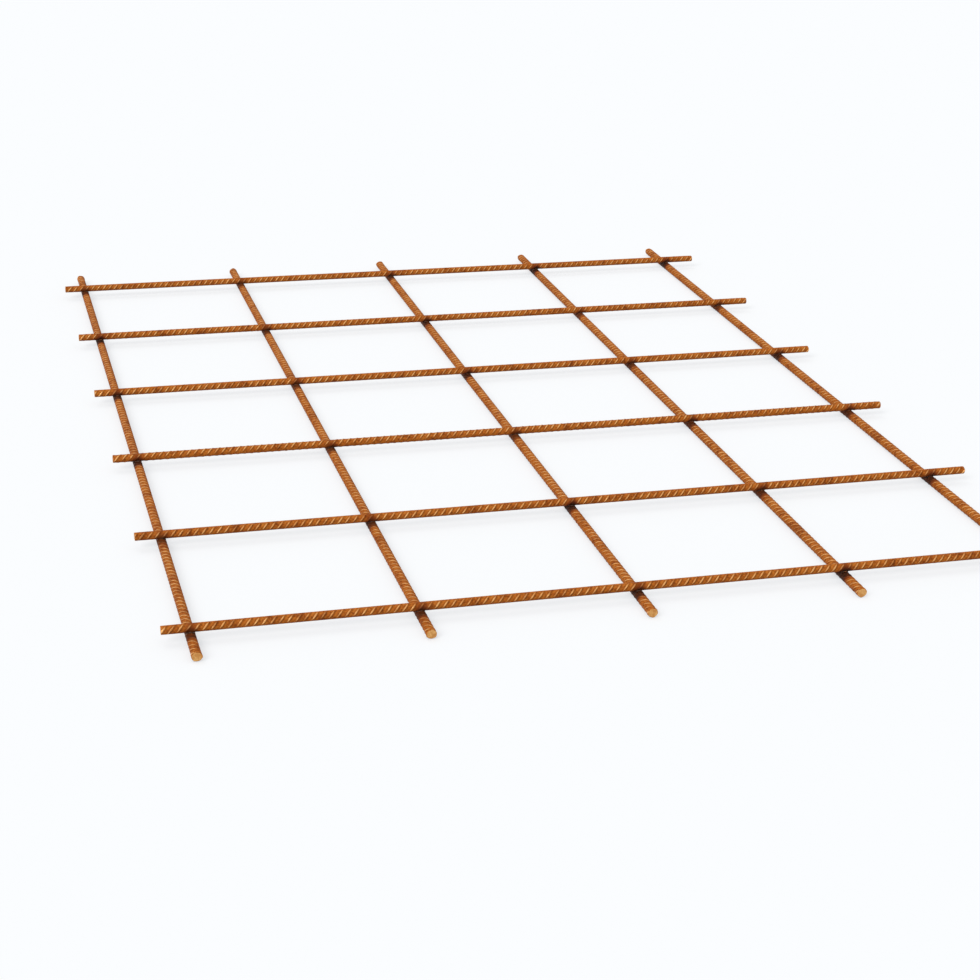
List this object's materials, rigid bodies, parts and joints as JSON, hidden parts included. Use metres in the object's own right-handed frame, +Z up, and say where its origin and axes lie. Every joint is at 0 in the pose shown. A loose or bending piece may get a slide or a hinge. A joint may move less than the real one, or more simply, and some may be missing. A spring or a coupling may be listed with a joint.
{
  "type": "welded wire mesh panel",
  "caption": "Flat sheet of rusty ribbed steel bars laid in two layers at right angles and welded at each crossing, with free bar ends all round, as used to reinforce concrete",
  "frame": {"origin": "bottom centre of the panel, on the level ground that it lies on", "axes": "+Z up out of the sheet; +Y towards the back, along the long bars of the lower layer; +X to the right, along the cross bars of the upper layer"},
  "size_m": [0.849, 1.11, 0.0162],
  "materials": {
    "rusty_steel": "as-rolled ribbed bar, bare, with a thin even coat of orange-brown rust"
  },
  "bodies": {
    "root": {"mesh_panel": "rusty_steel"}
  },
  "joints": []
}
